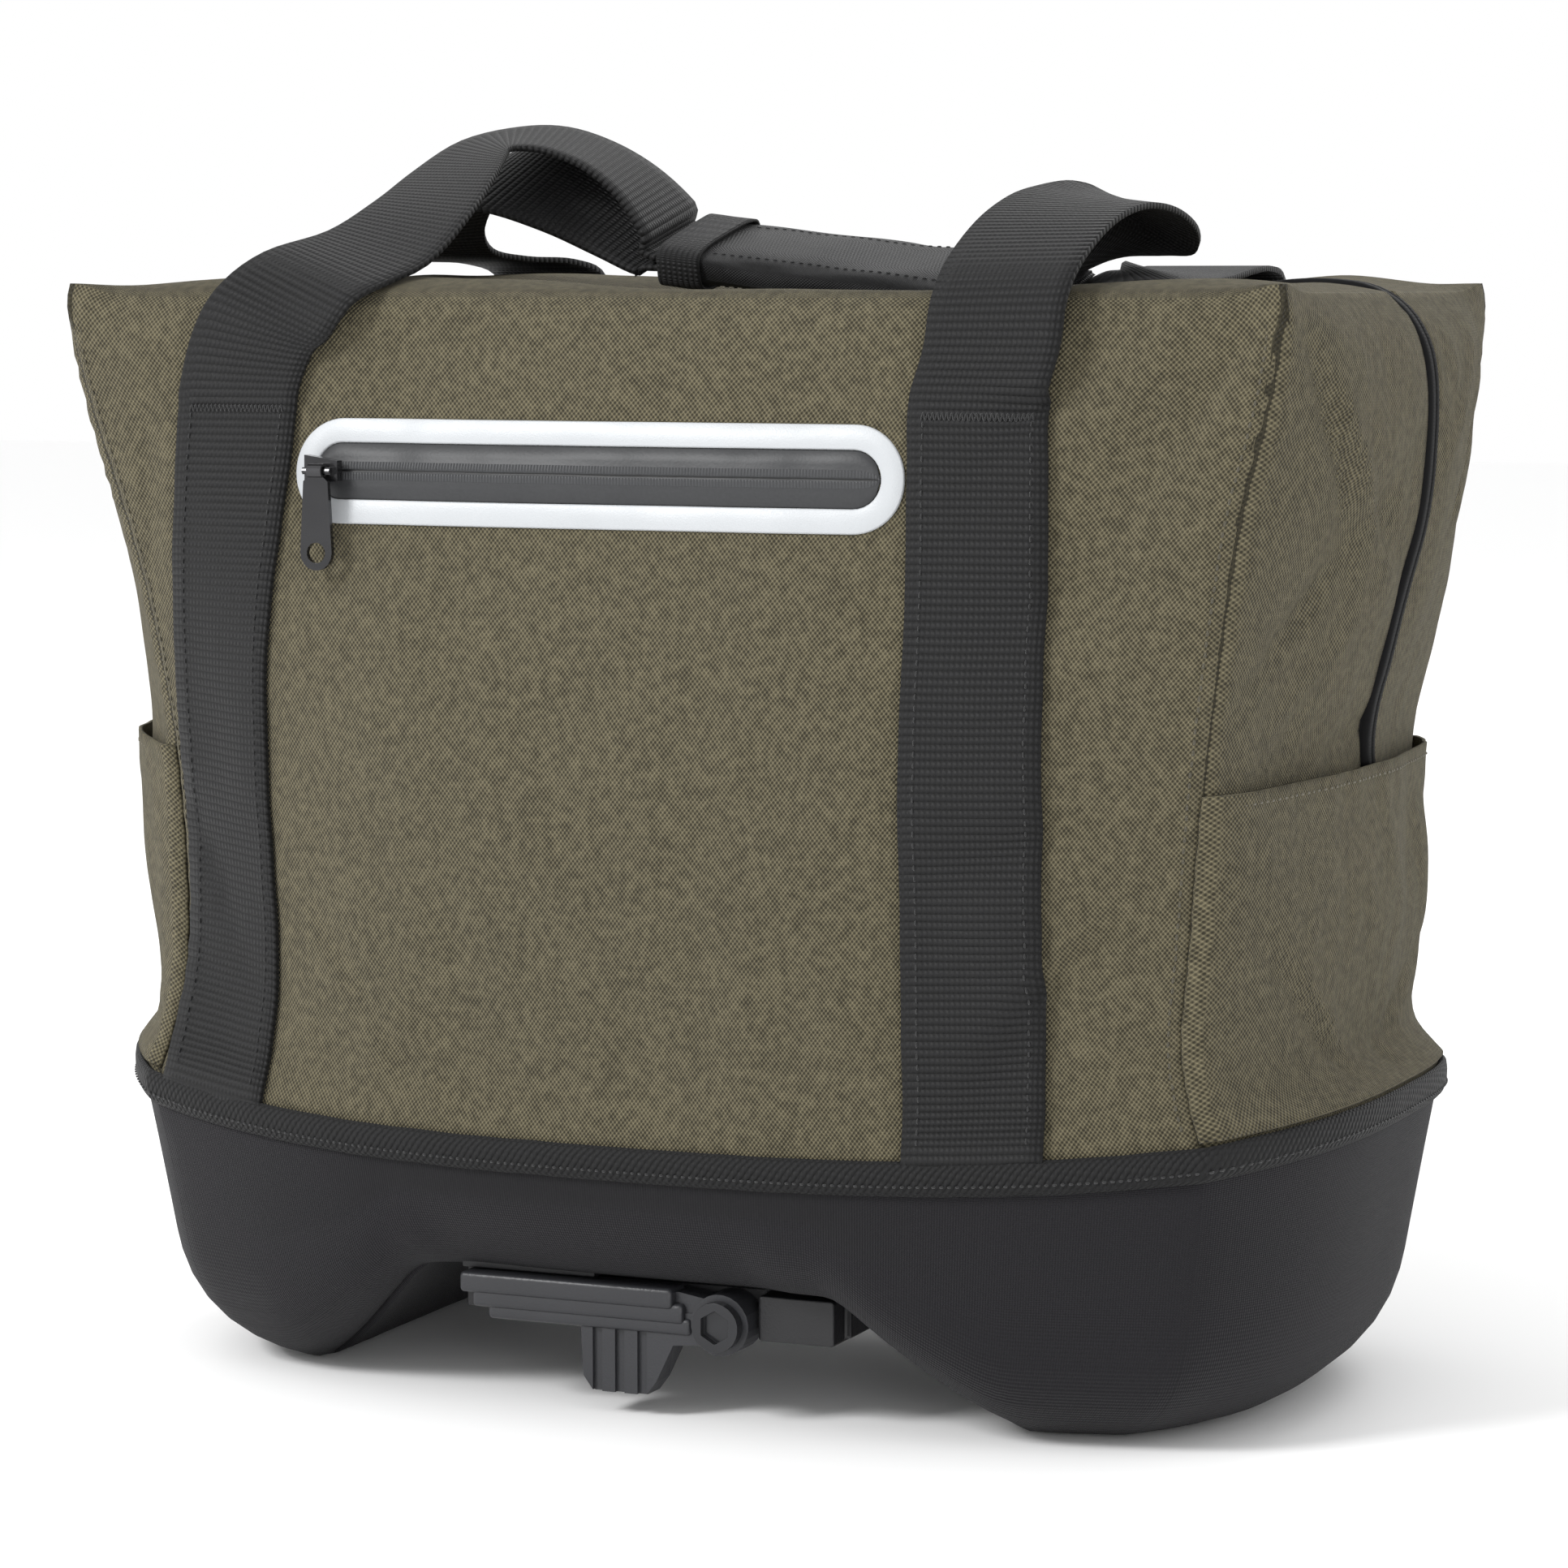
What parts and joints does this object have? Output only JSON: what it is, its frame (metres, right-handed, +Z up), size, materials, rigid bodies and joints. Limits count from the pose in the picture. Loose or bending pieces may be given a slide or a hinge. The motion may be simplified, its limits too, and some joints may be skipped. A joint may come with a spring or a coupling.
{
  "type": "bicycle trunk bag",
  "caption": "Boxy sewn trunk bag for a bicycle rack, with a zip over the top, a zipped front pocket, webbing handles joined in a grip, and a moulded base with a latching rack adapter.",
  "frame": {"origin": "on the ground under the bag's middle: the bottom centre of its bounding box", "axes": "+X along the bag's length, -Y towards the side with the zipped pocket, +Z up"},
  "size_m": [0.3813, 0.2352, 0.3537],
  "materials": {
    "olive_fabric": "coarse woven olive-brown cloth, matt",
    "webbing": "ribbed dark grey webbing",
    "binding": "twill binding tape, charcoal",
    "base_fabric": "fine charcoal cloth moulded over a stiff shell",
    "reflective": "silver-white reflective film, satin",
    "zip_tape": "coated grey zip tape, slightly shiny",
    "gunmetal": "glossy gunmetal",
    "adapter_plastic": "matt dark grey moulded plastic",
    "bolt_steel": "dark satin coated steel"
  },
  "bodies": {
    "bag": {"fabric_top": "olive_fabric", "end_pocket_left": "olive_fabric", "end_pocket_right": "olive_fabric", "base_shell": "base_fabric", "rim_binding": "binding", "main_zip_tape": "zip_tape", "main_zip_slider": "gunmetal", "front_handle": "webbing", "rear_handle": "webbing", "hand_grip": "webbing", "grip_band": "webbing", "reflective_trim": "reflective", "pocket_zip_tape": "zip_tape", "pocket_zip_slider": "gunmetal", "adapter_housing": "adapter_plastic", "lock_bolt": "bolt_steel"},
    "zip_pull": {"pocket_zip_pull": "gunmetal"},
    "latch": {"latch_lever": "adapter_plastic"}
  },
  "joints": [
    {"name": "zip_pull_swing", "type": "hinge", "parent": "bag", "child": "zip_pull", "pos_m": [-0.0905, -0.11244, 0.25772], "axis": [-1, 0, 0], "range_deg": [-2, 150]},
    {"name": "latch_turn", "type": "hinge", "parent": "bag", "child": "latch", "pos_m": [0.019, -0.0858, 0.0274], "axis": [0, -1, 0], "range_deg": [0, 8], "stiffness_Nm_per_rad": 0.05, "springref_deg": -28.65}
  ]
}
